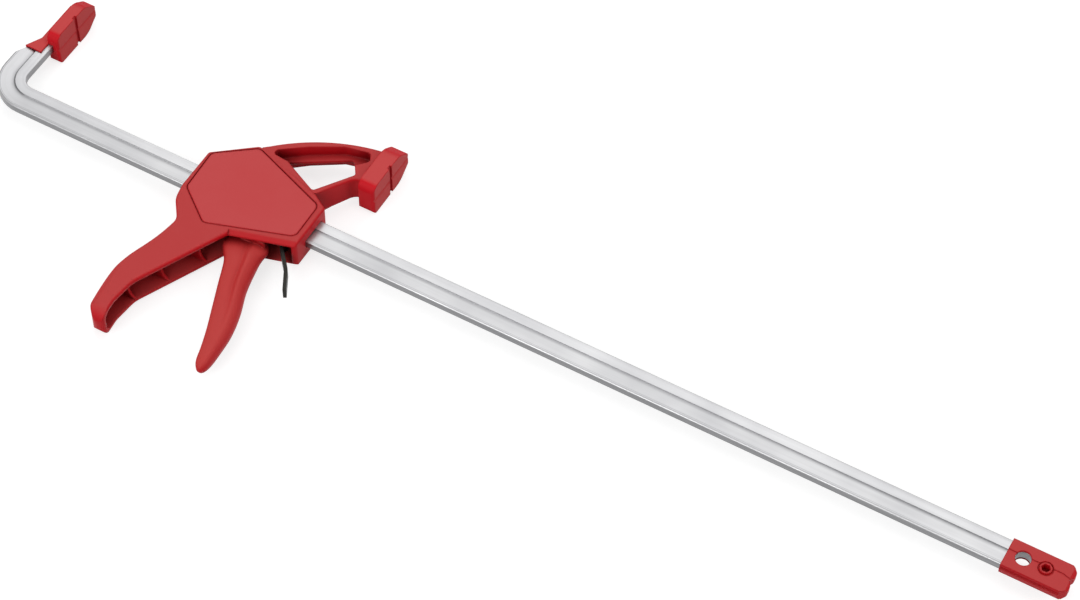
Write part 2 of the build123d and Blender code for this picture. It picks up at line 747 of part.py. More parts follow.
def drive_plate(index):
    """One gripping plate, with a hole that clears the bar."""
    front = plate_front - index * (plate_thickness + running_gap)
    half = plate_width / 2
    across = bar_edge + running_gap
    up = bar_face + running_gap
    shape = box(front - plate_thickness, front, -bar_edge - plate_drop, bar_edge + plate_rise, -half, half)
    return shape - box(front - overrun, front + overrun, -across, across, -up, up)


def drive_spring_guide():
    """The flanged rod inside the drive spring, with its stem in the housing."""
    face = spring_seat + guide_flange_thickness
    shape = rod_x(drive_spring_y, drive_spring_radius, spring_seat, face)
    shape += rod_x(drive_spring_y, guide_rod_radius, face, plate_rear - drive_stroke - guide_rod_gap)
    return shape + rod_x(drive_spring_y, guide_stem_radius, spring_seat - guide_stem_length, spring_seat)


def lever_path():
    """Middle line of the release lever's steel, from its top end to the tip of its tail."""
    middle_x = head_rear + lever_place_share * head_length
    lean = lever_slope / (2 * bar_edge + lever_rise + lever_drop)
    top_y = bar_edge + lever_rise
    knee_y = -bar_edge - lever_drop
    top = (middle_x - lean * top_y, top_y)
    knee = (middle_x - lean * knee_y, knee_y)
    elbow_x = knee[0] + lever_tail_reach * lever_elbow_share[0]
    elbow = (elbow_x, knee[1] - lever_tail_length * lever_elbow_share[1])
    tip = (knee[0] + lever_tail_reach, knee[1] - lever_tail_length)
    return [top, knee, elbow, tip]


def fulcrum():
    """Axis of the release lever's pin, behind the top of its plate."""
    top, knee = lever_path()[:2]
    length = math.hypot(knee[0] - top[0], knee[1] - top[1])
    along = ((knee[0] - top[0]) / length, (knee[1] - top[1]) / length)
    off = lever_thickness / 2 + fulcrum_pin_radius + seat_gap
    return (top[0] + along[0] * fulcrum_pin_drop + along[1] * off,
            top[1] + along[1] * fulcrum_pin_drop - along[0] * off)


def release_lever():
    """The release lever: a brake plate round the bar, bent into a narrow tail."""
    points = lever_path()
    path = FilletPolyline(*points, radius=lever_bend_radius)
    start = Plane(origin=path @ 0, x_dir=(0, 0, 1), z_dir=path % 0)
    shape = sweep(start * Rectangle(lever_width, lever_thickness), path=path)
    knee = points[1]
    half = lever_width / 2
    tail = lever_tail_width / 2
    for side in (1, -1):
        front = [
            (knee[1] + lever_bend_radius, side * (half + overrun)),
            (knee[1] + lever_bend_radius, side * half),
            (knee[1] - lever_bend_radius, side * tail),
            (points[3][1] - overrun, side * tail),
            (points[3][1] - overrun, side * (half + overrun)),
        ]
        cut = extrude(Plane.YZ * sharp(front), 2 * lever_tail_reach, both=True)
        shape -= Pos(knee[0], 0, 0) * cut
    across = bar_edge + lever_bar_gap
    up = bar_face + running_gap
    return shape - box(knee[0] - 2 * lever_slope, knee[0] + lever_slope, -across, across, -up, up)


def brake_spring():
    """The spring that pushes the lower end of the lever's plate away from the partition."""
    top, knee = lever_path()[:2]
    lean = (knee[0] - top[0]) / (top[1] - knee[1])
    rear = top[0] + lean * (top[1] - brake_spring_y - brake_spring_radius) - lever_thickness / 2
    low_x = partition_front + pin_fit
    return coil(low_x, rear - seat_gap, brake_spring_y, brake_spring_radius, brake_wire_radius,
                brake_spring_turns, "brake_spring")


def drive_spring():
    """The spring that pushes the drive plates and the trigger back."""
    low_x = spring_seat + guide_flange_thickness + pin_fit
    return coil(low_x, plate_rear - pin_fit, drive_spring_y, drive_spring_radius, drive_wire_radius,
                drive_spring_turns, "drive_spring")


nodes = {
    "bar": bar(),
    "end_cap": end_cap(),
    "end_cap_peg": end_cap_peg(),
    "fixed_pad": fixed_pad(),
    "movable_pad": movable_pad(),
    "head_housing": head_housing(),
    "side_cover_upper": side_cover(1),
    "side_cover_lower": side_cover(-1),
    "trigger": trigger(),
    "trigger_pivot_pin": rod_z(*pivot, pivot_pin_radius, pin_fit - cover_floor, cover_floor - pin_fit),
    "trigger_thrust_pin": thrust_pin(),
    "drive_spring": drive_spring(),
    "drive_spring_guide": drive_spring_guide(),
    "release_lever": release_lever(),
    "lever_fulcrum_pin": rod_z(*fulcrum(), fulcrum_pin_radius, pin_fit - cover_floor, cover_floor - pin_fit),
    "brake_spring": brake_spring(),
}
for index, place in enumerate(("front", "middle", "rear")[:plate_count]):
    nodes["drive_plate_" + place] = drive_plate(index)

for name, shape in nodes.items():
    export_step(shape, "parts/" + name + ".step")
    print(name, len(shape.solids()), round(shape.volume, 1))
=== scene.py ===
import bmesh
import bpy
import math
from mathutils import Matrix, Vector


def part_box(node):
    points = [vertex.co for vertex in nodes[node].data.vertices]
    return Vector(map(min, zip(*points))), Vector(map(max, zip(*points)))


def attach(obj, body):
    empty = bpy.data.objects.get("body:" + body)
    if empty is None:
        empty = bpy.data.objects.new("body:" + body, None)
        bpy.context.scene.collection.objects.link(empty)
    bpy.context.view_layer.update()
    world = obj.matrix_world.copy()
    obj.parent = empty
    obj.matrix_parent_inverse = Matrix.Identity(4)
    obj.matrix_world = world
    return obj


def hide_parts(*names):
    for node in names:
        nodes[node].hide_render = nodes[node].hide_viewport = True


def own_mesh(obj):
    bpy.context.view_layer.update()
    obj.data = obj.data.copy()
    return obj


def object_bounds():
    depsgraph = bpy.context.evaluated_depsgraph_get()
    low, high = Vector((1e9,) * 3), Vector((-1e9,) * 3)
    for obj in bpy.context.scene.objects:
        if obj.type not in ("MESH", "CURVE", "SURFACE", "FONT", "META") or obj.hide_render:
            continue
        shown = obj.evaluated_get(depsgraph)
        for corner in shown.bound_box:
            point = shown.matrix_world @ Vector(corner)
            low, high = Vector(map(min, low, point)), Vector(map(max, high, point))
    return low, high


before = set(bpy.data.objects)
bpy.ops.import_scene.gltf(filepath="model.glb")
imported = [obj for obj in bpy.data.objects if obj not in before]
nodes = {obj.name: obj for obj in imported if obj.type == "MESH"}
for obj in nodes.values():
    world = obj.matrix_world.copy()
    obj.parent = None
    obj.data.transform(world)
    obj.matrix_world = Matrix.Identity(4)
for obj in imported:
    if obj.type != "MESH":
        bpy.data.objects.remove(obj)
cad_low, cad_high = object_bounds()

# Bar
# A flat drawn steel bar with a shallow groove along each face, nickel plated.
# It is bent at one end into the fixed arm, and it is the rail that the head slides on.
bar_bend_centre = Vector((-0.7593, 0.020, 0.0))  # the bar's middle bends round it


def link(tree, source, target):
    """Joins an output to an input of a node tree."""
    tree.links.new(source, target)


def add_node(tree, kind, **settings):
    """A node of that kind, with its settings."""
    node = tree.nodes.new(kind)
    for key, value in settings.items():
        setattr(node, key, value)
    return node


def compute(tree, operation, *values):
    """A math node fed by numbers or outputs."""
    node = add_node(tree, "ShaderNodeMath", operation=operation)
    for socket, value in zip(node.inputs, values):
        if isinstance(value, (int, float)):
            socket.default_value = value
        else:
            link(tree, value, socket)
    return node.outputs[0]


def noise(tree, place, scale, detail, roughness=0.5):
    """A noise pattern read at a place."""
    node = add_node(tree, "ShaderNodeTexNoise")
    node.inputs["Scale"].default_value = scale
    node.inputs["Detail"].default_value = detail
    node.inputs["Roughness"].default_value = roughness
    link(tree, place, node.inputs["Vector"])
    return node.outputs["Fac"]


def spread(tree, value, given, wanted):
    """Stretches a value from the given range to the wanted one."""
    node = add_node(tree, "ShaderNodeMapRange")
    for label, level in zip(("From Min", "From Max", "To Min", "To Max"), (*given, *wanted)):
        node.inputs[label].default_value = level
    link(tree, value, node.inputs["Value"])
    return node.outputs["Result"]


mix_share, mix_first, mix_second, mix_result = 0, 6, 7, 2  # the colour sockets of a mix node


def mixed(tree, share, first, second):
    """A mix of two colours, each a tuple or an output, by a share from an output."""
    node = add_node(tree, "ShaderNodeMix", data_type="RGBA")
    link(tree, share, node.inputs[mix_share])
    for index, colour in ((mix_first, first), (mix_second, second)):
        if isinstance(colour, tuple):
            node.inputs[index].default_value = (*colour, 1.0)
        else:
            link(tree, colour, node.inputs[index])
    return node.outputs[mix_result]


def linear(red, green, blue):
    """A colour as it is read off a screen, 0 to 255, as the light that makes it."""
    out = []
    for part in (red, green, blue):
        part /= 255
        out.append(part / 12.92 if part <= 0.04045 else ((part + 0.055) / 1.055) ** 2.4)
    return tuple(out)


number = "NodeSocketFloat"
vector = "NodeSocketVector"


def new_group(name, inputs, outputs):
    """An empty shader group with named inputs and outputs."""
    group = bpy.data.node_groups.new(name, "ShaderNodeTree")
    for label, kind in inputs:
        group.interface.new_socket(label, in_out="INPUT", socket_type=kind)
    for label, kind in outputs:
        group.interface.new_socket(label, in_out="OUTPUT", socket_type=kind)
    return group, add_node(group, "NodeGroupInput"), add_node(group, "NodeGroupOutput")


def place_group(tree, group, **values):
    """A shader group placed in a material, with its own values."""
    node = add_node(tree, "ShaderNodeGroup", node_tree=group)
    for label, value in values.items():
        if isinstance(value, (int, float)):
            node.inputs[label].default_value = value
        else:
            link(tree, value, node.inputs[label])
    return node


def new_material(name, metallic, specular=0.5):
    """A material with its shader and the object's own coordinates ready."""
    material = bpy.data.materials.new(name)
    material.use_nodes = True
    tree = material.node_tree
    tree.nodes.clear()
    shader = add_node(tree, "ShaderNodeBsdfPrincipled")
    shader.inputs["Metallic"].default_value = metallic
    shader.inputs["Specular IOR Level"].default_value = specular
    link(tree, shader.outputs[0], add_node(tree, "ShaderNodeOutputMaterial").inputs["Surface"])
    place = add_node(tree, "ShaderNodeTexCoord").outputs["Object"]
    return material, tree, shader, place


def set_bump(tree, shader, height, distance, strength, normal):
    """Feeds a height, in metres once scaled by distance, and a normal to the shader."""
    bump = add_node(tree, "ShaderNodeBump")
    bump.inputs["Distance"].default_value = distance
    bump.inputs["Strength"].default_value = strength
    link(tree, height, bump.inputs["Height"])
    link(tree, normal, bump.inputs["Normal"])
    link(tree, bump.outputs["Normal"], shader.inputs["Normal"])


def face_group():
    """A mask of the broad faces, square to Z, or to X where they press on the work. Plastic takes a painted
    sheen on them, and steel painted shade off them.
    """
    group, given, put = new_group(
        "broad_faces", [("Normal", vector), ("Low", number), ("High", number), ("Pressed", number)],
        [("Broad", number)],
    )
    parts = add_node(group, "ShaderNodeSeparateXYZ")
    link(group, given.outputs["Normal"], parts.inputs[0])
    square_to_x = compute(group, "ABSOLUTE", parts.outputs["X"])
    square_to_z = compute(group, "ABSOLUTE", parts.outputs["Z"])
    pressing = compute(group, "MULTIPLY", square_to_x, given.outputs["Pressed"])
    rise = add_node(group, "ShaderNodeMapRange")
    link(group, compute(group, "MAXIMUM", pressing, square_to_z), rise.inputs["Value"])
    link(group, given.outputs["Low"], rise.inputs["From Min"])
    link(group, given.outputs["High"], rise.inputs["From Max"])
    link(group, rise.outputs["Result"], put.inputs["Broad"])
    return group


def edge_group():
    """Edges: a mask that is 1 on outer edges, patchy along them, and a normal that rounds them. Steel shows
    brighter wear there, and plastic a painted highlight.
    """
    group, given, put = new_group(
        "edge_wear_and_highlight", [("Radius", number), ("Place", vector)], [("Mask", number), ("Normal", vector)]
    )
    bevel = add_node(group, "ShaderNodeBevel", samples=6)
    link(group, given.outputs["Radius"], bevel.inputs["Radius"])
    surface = add_node(group, "ShaderNodeNewGeometry")
    turned = add_node(group, "ShaderNodeVectorMath", operation="DOT_PRODUCT")
    link(group, bevel.outputs["Normal"], turned.inputs[0])
    link(group, surface.outputs["Normal"], turned.inputs[1])
    sharp = spread(group, turned.outputs["Value"], given=(0.99, 0.86), wanted=(0.0, 1.0))
    patchy = noise(group, given.outputs["Place"], scale=260.0, detail=3.0, roughness=0.6)
    uneven = spread(group, patchy, given=(0.35, 0.65), wanted=(0.25, 1.0))
    link(group, compute(group, "MULTIPLY", sharp, uneven), put.inputs["Mask"])
    link(group, bevel.outputs["Normal"], put.inputs["Normal"])
    return group


def bar_way_group(centre):
    """Coordinates that follow the bar round its bend: along it, across it and up."""
    group, given, put = new_group("along_the_bar", [("Place", vector)], [("Way", vector)])
    parts = add_node(group, "ShaderNodeSeparateXYZ")
    link(group, given.outputs["Place"], parts.inputs[0])
    past_x = compute(group, "MAXIMUM", compute(group, "SUBTRACT", centre.x, parts.outputs["X"]), 0.0)
    past_y = compute(group, "MAXIMUM", compute(group, "SUBTRACT", centre.y, parts.outputs["Y"]), 0.0)
    square_x = compute(group, "MULTIPLY", past_x, past_x)
    square_y = compute(group, "MULTIPLY", past_y, past_y)
    along_x = compute(group, "MAXIMUM", parts.outputs["X"], centre.x)
    along_y = compute(group, "MAXIMUM", parts.outputs["Y"], centre.y)
    way = add_node(group, "ShaderNodeCombineXYZ")
    link(group, compute(group, "SUBTRACT", along_x, along_y), way.inputs["X"])
    link(group, compute(group, "SQRT", compute(group, "ADD", square_x, square_y)), way.inputs["Y"])
    link(group, parts.outputs["Z"], way.inputs["Z"])
    link(group, way.outputs[0], put.inputs["Way"])
    return group


lines_in_a_metre = 12.0  # end to end, along the bar


def grain_group():
    """Fine drawn or rolled lines along the first axis, with cloudy stains."""
    group, given, put = new_group(
        "drawn_grain", [("Way", vector), ("Fineness", number)], [("Lines", number), ("Stains", number)]
    )
    stretch = add_node(group, "ShaderNodeCombineXYZ")
    stretch.inputs["X"].default_value = lines_in_a_metre
    link(group, given.outputs["Fineness"], stretch.inputs["Y"])
    link(group, given.outputs["Fineness"], stretch.inputs["Z"])
    scaled = add_node(group, "ShaderNodeVectorMath", operation="MULTIPLY")
    link(group, given.outputs["Way"], scaled.inputs[0])
    link(group, stretch.outputs[0], scaled.inputs[1])
    lines = noise(group, scaled.outputs[0], scale=1.0, detail=4.0, roughness=0.6)
    link(group, lines, put.inputs["Lines"])
    stains = noise(group, given.outputs["Way"], scale=14.0, detail=3.0, roughness=0.55)
    link(group, stains, put.inputs["Stains"])
    return group


groove_shade_fade = 0.0002  # how softly the painted shade ends on the steep side
line_fade = 1.6  # where a painted shade line has faded out, in its half widths


def groove_group(middle, steep_side, floor_start, floor_end, edge_shade_lines):
    """Painted shade in the steep corner of the bar's groove, and thin painted shade lines along its shallow
    edge.

    Middle is how far the bar's middle runs from the bend's centre. The other places are across from it.
    """
    group, given, put = new_group("groove_shade", [("Way", vector)], [("Mask", number)])
    parts = add_node(group, "ShaderNodeSeparateXYZ")
    link(group, given.outputs["Way"], parts.inputs[0])
    across = compute(group, "SUBTRACT", middle, parts.outputs["Y"])
    across = compute(group, "MULTIPLY", across, compute(group, "SIGN", parts.outputs["Z"]))
    outside = spread(group, across, given=(steep_side, steep_side + groove_shade_fade), wanted=(1.0, 0.0))
    inside = spread(group, across, given=(floor_end, floor_start), wanted=(0.0, 1.0))
    dark = compute(group, "MULTIPLY", outside, inside)
    for place, half_width, strength in edge_shade_lines:
        off = compute(group, "ABSOLUTE", compute(group, "SUBTRACT", across, place))
        line = spread(group, off, given=(half_width, line_fade * half_width), wanted=(strength, 0.0))
        dark = compute(group, "MAXIMUM", dark, line)
    link(group, dark, put.inputs["Mask"])
    return group


broad_faces = face_group()
edge_wear_and_highlight = edge_group()
drawn_grain = grain_group()


line_range = (0.3, 0.7)
line_strength = 0.25
line_depth = 0.00002
steel_edge_wear = 0.4
groove_shade_strength = 0.72
roughness_change = 0.15


def steel(name, bright, dark, roughness, edge_radius, fineness, way_group=None, side=None, groove=None):
    """Plated or oiled steel with drawn lines, cloudy stains and brighter worn edges; a side colour paints
    shade on its narrow faces, and a groove mask paints shade in the bar's groove.
    """
    material, tree, shader, place = new_material(name, metallic=1.0)
    way = place
    if way_group is not None:
        way = place_group(tree, way_group, Place=place).outputs["Way"]
    grain = place_group(tree, drawn_grain, Way=way, Fineness=fineness)
    lines = grain.outputs["Lines"]
    edges = place_group(tree, edge_wear_and_highlight, Radius=edge_radius, Place=place)
    stained = spread(tree, grain.outputs["Stains"], given=(0.35, 0.65), wanted=(0.0, 1.0))
    clouded = mixed(tree, stained, dark, bright)
    lined = mixed(tree, spread(tree, lines, line_range, wanted=(0.0, line_strength)), clouded, dark)
    skin = mixed(tree, compute(tree, "MULTIPLY", edges.outputs["Mask"], steel_edge_wear), lined, bright)
    # Painted shade: the faces that are not broad take the darker side colour.
    if side is not None:
        surface = add_node(tree, "ShaderNodeNewGeometry")
        broad = place_group(tree, broad_faces, Normal=surface.outputs["Normal"], Low=0.5, High=0.68)
        skin = mixed(tree, broad.outputs["Broad"], mixed(tree, lines, side, dark), skin)
    if groove is not None:
        # Painted shade in the groove: the colour moves towards the side colour there.
        scale = place_group(tree, groove, Way=way).outputs["Mask"]
        skin = mixed(tree, compute(tree, "MULTIPLY", scale, groove_shade_strength), skin, side)
    link(tree, skin, shader.inputs["Base Color"])
    smoothest = roughness * (1.0 - roughness_change)
    roughest = roughness * (1.0 + roughness_change)
    link(tree, spread(tree, lines, line_range, wanted=(smoothest, roughest)), shader.inputs["Roughness"])
    set_bump(tree, shader, lines, line_depth, strength=0.5, normal=edges.outputs["Normal"])
    return material


bar_way = bar_way_group(bar_bend_centre)
# The groove mask is painted shade: dark in the steep corner and in two thin lines at the groove's shallow
# edge.
bar_groove_shade = groove_group(
    middle=bar_bend_centre.y, steep_side=0.0023, floor_start=0.0019, floor_end=-0.0004,
    edge_shade_lines=((-0.0080, 0.00014, 0.9), (-0.0089, 0.00012, 0.9)),  # place across, half width, strength
)
# The bar's side colour is painted shade on its narrow faces.
bar_steel = steel(
    "bar_steel_drawn", linear(176, 176, 177), linear(158, 158, 160), roughness=0.34, edge_radius=0.0004,
    fineness=700.0, way_group=bar_way, side=linear(112, 112, 114), groove=bar_groove_shade,
)


same_point = 1e-6
flat_enough = math.radians(0.5)


def placed(name, data):
    """An object of that name in the scene, holding a mesh, a lamp or a lens."""
    piece = bpy.data.objects.new(name, data)
    bpy.context.scene.collection.objects.link(piece)
    return piece


def mesh_copy(node):
    """A working copy of a CAD piece's mesh, with its doubled points joined."""
    work = bmesh.new()
    work.from_mesh(nodes[node].data)
    bmesh.ops.remove_doubles(work, verts=work.verts, dist=same_point)
    return work


def as_piece(work, name):
    """The piece that a worked mesh has become."""
    mesh = bpy.data.meshes.new(name)
    work.to_mesh(mesh)
    work.free()
    return placed(name, mesh)


def moulded(node, body, radius, angle=28.0, flat_angle=32.0):
    """A finer copy of a CAD piece at the same place, with its sharp edges rounded."""
    work = mesh_copy(node)
    bmesh.ops.dissolve_limit(work, angle_limit=flat_enough, verts=work.verts, edges=work.edges)
    limit = math.radians(angle)
    edges = [edge for edge in work.edges if len(edge.link_faces) == 2 and edge.calc_face_angle() > limit]
    bmesh.ops.bevel(
        work, geom=edges, offset=radius, segments=3, profile=0.5, affect="EDGES", clamp_overlap=True
    )
    bmesh.ops.triangulate(work, faces=[face for face in work.faces if len(face.verts) > 4])
    piece = as_piece(work, node + "_moulding")
    smooth(piece, flat_angle)
    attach(piece, body)
    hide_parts(node)
    return piece


def smooth(piece, angle):
    """Smooth shading with flat faces kept flat."""
    for face in piece.data.polygons:
        face.use_smooth = True
    piece.data.set_sharp_from_angle(angle=math.radians(angle))
    weights = piece.modifiers.new("flat faces stay flat", "WEIGHTED_NORMAL")
    weights.weight = 100  # the largest faces set the shading
    weights.keep_sharp = True
    plain(piece)


def plain(piece):
    """Applies a piece's modifiers by taking its evaluated mesh."""
    shape = piece.evaluated_get(bpy.context.evaluated_depsgraph_get())
    mesh = bpy.data.meshes.new_from_object(shape)
    piece.modifiers.clear()
    piece.data = mesh


def paint(piece, material):
    """Gives a piece its material."""
    piece.data.materials.clear()
    piece.data.materials.append(material)


paint(moulded("bar", "bar", radius=0.0002, angle=50.0, flat_angle=40.0), bar_steel)

# End cap and peg
# The cap is a red moulded socket pushed over the bar's end. A plain moulded peg with a
# six-sided socket in its head holds it, and the hanging hole goes through cap and bar.
mould_red = linear(196, 20, 30)
# The paler red is a painted sheen of the light above, for the broad faces.
mould_red_sheen = linear(192, 64, 64)


def mould_group():
    """Moulded plastic: fine spark-eroded grain, faint flow clouds and rubbed patches."""
    group, given, put = new_group(
        "mould_grain", [("Place", vector)], [("Height", number), ("Clouds", number), ("Rubbed", number)]
    )
    place = given.outputs["Place"]
    scaled = add_node(group, "ShaderNodeVectorMath", operation="SCALE")
    scaled.inputs["Scale"].default_value = 1800.0
    link(group, place, scaled.inputs[0])
    eroded = noise(group, scaled.outputs[0], scale=1.0, detail=2.0, roughness=0.6)
    link(group, eroded, put.inputs["Height"])
    link(group, noise(group, place, scale=22.0, detail=4.0, roughness=0.6), put.inputs["Clouds"])
    rubbed = noise(group, place, scale=70.0, detail=5.0, roughness=0.65)
    link(group, spread(group, rubbed, given=(0.52, 0.7), wanted=(0.0, 1.0)), put.inputs["Rubbed"])
    return group


mould_grain = mould_group()


plastic_shine = 0.14
plastic_edge_highlight = 0.25
rubbed_change = 0.06  # in roughness, down where it is rubbed and up where it is etched


def plastic(name, deep, broad, roughness, grain_depth, edge_radius=0.002, hollow_reach=0.016,
            hollow_shade=0.36, steepest=0.72, alone=True, pressed=0.0, flattest=0.98):
    """Moulded plastic in a deep colour, with painted shade in its hollows, a paler painted sheen on its broad
    faces and painted highlights on its edges.
    """
    material, tree, shader, place = new_material(name, metallic=0.0, specular=plastic_shine)
    grain = place_group(tree, mould_grain, Place=place)
    edges = place_group(tree, edge_wear_and_highlight, Radius=edge_radius, Place=place)
    broad_face = place_group(
        tree, broad_faces, Normal=edges.outputs["Normal"], Low=steepest, High=flattest, Pressed=pressed
    )
    # Painted shade: hollows and inner corners darken towards hollow_shade times the deep colour.
    hollow = add_node(tree, "ShaderNodeAmbientOcclusion", samples=8, only_local=alone)
    hollow.inputs["Distance"].default_value = hollow_reach
    open_share = spread(tree, hollow.outputs["AO"], given=(0.3, 0.95), wanted=(0.0, 1.0))
    # Painted sheen: the open broad faces take the paler colour, and the same share makes them a little
    # rougher.
    sheen_and_etch = compute(tree, "MULTIPLY", broad_face.outputs["Broad"], open_share)
    deepest = tuple(part * hollow_shade for part in deep)
    sides = mixed(tree, open_share, deepest, deep)
    clouds = spread(tree, grain.outputs["Clouds"], given=(0.3, 0.7), wanted=(0.88, 1.0))
    skin = mixed(tree, compute(tree, "MULTIPLY", sheen_and_etch, clouds), sides, broad)
    # Painted highlight: the edges lighten towards the paler sheen colour.
    edge_highlight = compute(tree, "MULTIPLY", edges.outputs["Mask"], plastic_edge_highlight)
    link(tree, mixed(tree, edge_highlight, skin, broad), shader.inputs["Base Color"])
    rubbed = spread(
        tree, grain.outputs["Rubbed"], given=(0.0, 1.0), wanted=(roughness, roughness - rubbed_change)
    )
    etched_change = compute(tree, "MULTIPLY", sheen_and_etch, rubbed_change)
    link(tree, compute(tree, "ADD", rubbed, etched_change), shader.inputs["Roughness"])
    height = grain.outputs["Height"]
    set_bump(tree, shader, height, grain_depth, strength=0.6, normal=edges.outputs["Normal"])
    return material


cap_plastic = plastic(
    "red_plastic_cap", mould_red, mould_red_sheen, roughness=0.46, grain_depth=0.00003, edge_radius=0.0012,
    hollow_reach=0.0025, hollow_shade=0.7,
)
paint(moulded("end_cap", "bar", radius=0.0005), cap_plastic)
paint(moulded("end_cap_peg", "bar", radius=0.0003), cap_plastic)

# Pads
# Each pad is a softer red moulding. The fixed one has a sleeve over the bar's arm, and
# the other is pushed over the tongue at the end of the jaw arm.
# The pads' paler colour is a painted sheen, on their broad faces and on the faces that press.
red_pad = plastic(
    "red_pad_soft", linear(208, 18, 32), linear(206, 75, 75), roughness=0.55, grain_depth=0.00004,
    edge_radius=0.0012, hollow_reach=0.004, hollow_shade=0.75, steepest=0.88, pressed=1.0, flattest=0.99,
)
paint(moulded("fixed_pad", "bar", radius=0.0008), red_pad)
paint(moulded("movable_pad", "head", radius=0.0008), red_pad)

# Head housing and its side covers
# Body, pistol handle and jaw arm are one red moulding, hollow and ribbed inside.
# A six-sided cover is pressed into a seat on each side and keeps the pins in.
red_plastic = plastic(
    "red_plastic_moulded", mould_red, mould_red_sheen, roughness=0.46, grain_depth=0.00003, hollow_shade=0.3
)
paint(moulded("head_housing", "head", radius=0.0005), red_plastic)
# The cover's paler colour is a painted sheen on its broad faces.
red_cover = plastic(
    "red_cover_moulded", mould_red, linear(202, 76, 77), roughness=0.5, grain_depth=0.00003
)
for node in ("side_cover_upper", "side_cover_lower"):
    paint(moulded(node, "head", radius=0.0004), red_cover)

# Trigger and its pins
# A solid red moulding that forks round the bar. It turns on a ground steel pin in the
# housing, and a second pin in its fork pushes on the drive plates.
grip_stations = [
    (-0.5704, -0.0240, -0.5426, -0.0230, 0.0046, 1.0),
    (-0.5706, -0.0360, -0.5392, -0.0290, 0.0050, 1.0),
    (-0.5660, -0.0435, -0.5395, -0.0360, 0.0068, 1.0),
    (-0.5606, -0.0512, -0.5388, -0.0430, 0.0078, 1.0),
    (-0.5532, -0.0698, -0.5346, -0.0625, 0.0080, 0.9),
    (-0.5454, -0.0894, -0.5276, -0.0815, 0.0080, 0.5),
    (-0.5396, -0.1040, -0.5236, -0.0980, 0.0078, 0.1),
    (-0.5346, -0.1185, -0.5224, -0.1140, 0.0072, 0.0),
    (-0.5320, -0.1280, -0.5223, -0.1260, 0.0060, 0.0),
    (-0.5296, -0.1322, -0.5240, -0.1322, 0.0038, 0.0),
    (-0.5268, -0.1342, -0.5268, -0.1342, 0.0002, 0.0),
]  # from the fork to the tip: rear edge, front edge, half thickness and share of the ridge
grip_half_profile = [
    (-1.0, 0.0), (-0.97, 0.42), (-0.86, 0.70), (-0.62, 0.80), (-0.3, 0.82), (-0.06, 0.76),
    (0.08, 0.70), (0.22, 0.86), (0.36, 1.0), (0.5, 0.97), (0.72, 0.78), (0.92, 0.44),
]  # from the rear edge over the top to the front edge, as shares of half the width and thickness
grip_plain_ups = [0.0, 0.42, 0.70, 0.84, 0.91, 0.94, 0.95, 0.95, 0.94, 0.90, 0.75, 0.44]  # with no ridge
grip_steps = 7
profile_steps = 3
fork_end = -0.0290  # along Y, where the grip takes over


def between(rows, steps, closed=False):
    """Rows of a table with smooth steps put between them."""
    count = len(rows)
    out = []
    for index in range(count if closed else count - 1):
        picks = [index - 1, index, index + 1, index + 2]
        picks = [pick % count if closed else min(max(pick, 0), count - 1) for pick in picks]
        before, here, there, after = [rows[pick] for pick in picks]
        for step in range(steps):
            t = step / steps
            out.append(tuple(
                b + 0.5 * t * (c - a + t * (2 * a - 5 * b + 4 * c - d + t * (3 * (b - c) + d - a)))
                for a, b, c, d in zip(before, here, there, after)
            ))
    return out if closed else out + [rows[-1]]


def grip_loft(name):
    """The grip: the profile carried from the fork to the rounded tip."""
    upper = [(across, up, plain_up) for (across, up), plain_up in zip(grip_half_profile, grip_plain_ups)]
    lower = [(across, -up, -plain_up) for across, up, plain_up in reversed(upper[1:])]
    profile = between(upper + [(1.0, 0.0, 0.0)] + lower, profile_steps, closed=True)
    rows = between(grip_stations, grip_steps)
    work = bmesh.new()
    rings = []
    for rear_x, rear_y, front_x, front_y, half, ridge in rows:
        rear = Vector((rear_x, rear_y, 0.0))
        front = Vector((front_x, front_y, 0.0))
        ring = []
        for across, up, plain_up in profile:
            place = (rear + front) / 2 + (front - rear) / 2 * across
            height = half * (up * ridge + plain_up * (1.0 - ridge))
            ring.append(work.verts.new(place + Vector((0.0, 0.0, height))))
        rings.append(ring)
    for ring, following in zip(rings, rings[1:]):
        for index in range(len(ring)):
            other = (index + 1) % len(ring)
            work.faces.new((ring[index], ring[other], following[other], following[index]))
    work.faces.new(rings[0])
    work.faces.new(list(reversed(rings[-1])))
    bmesh.ops.recalc_face_normals(work, faces=work.faces)
    return as_piece(work, name)


def fork_part(name):
    """The fork: the CAD trigger down to where the grip begins."""
    work = mesh_copy("trigger")
    everything = work.verts[:] + work.edges[:] + work.faces[:]
    cut = bmesh.ops.bisect_plane(
        work, geom=everything, plane_co=(0.0, fork_end, 0.0), plane_no=(0.0, -1.0, 0.0), clear_outer=True
    )
    edges = [item for item in cut["geom_cut"] if isinstance(item, bmesh.types.BMEdge)]
    bmesh.ops.holes_fill(work, edges=edges)
    bmesh.ops.dissolve_limit(work, angle_limit=flat_enough, verts=work.verts, edges=work.edges)
    return as_piece(work, name)


grip = grip_loft("trigger_moulding")
fork = fork_part("trigger_fork")
union = grip.modifiers.new("one moulding", "BOOLEAN")
union.operation = "UNION"
union.solver = "EXACT"
union.object = fork
plain(grip)
bpy.data.objects.remove(fork)
smooth(grip, angle=40.0)
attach(grip, "trigger")
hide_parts("trigger")
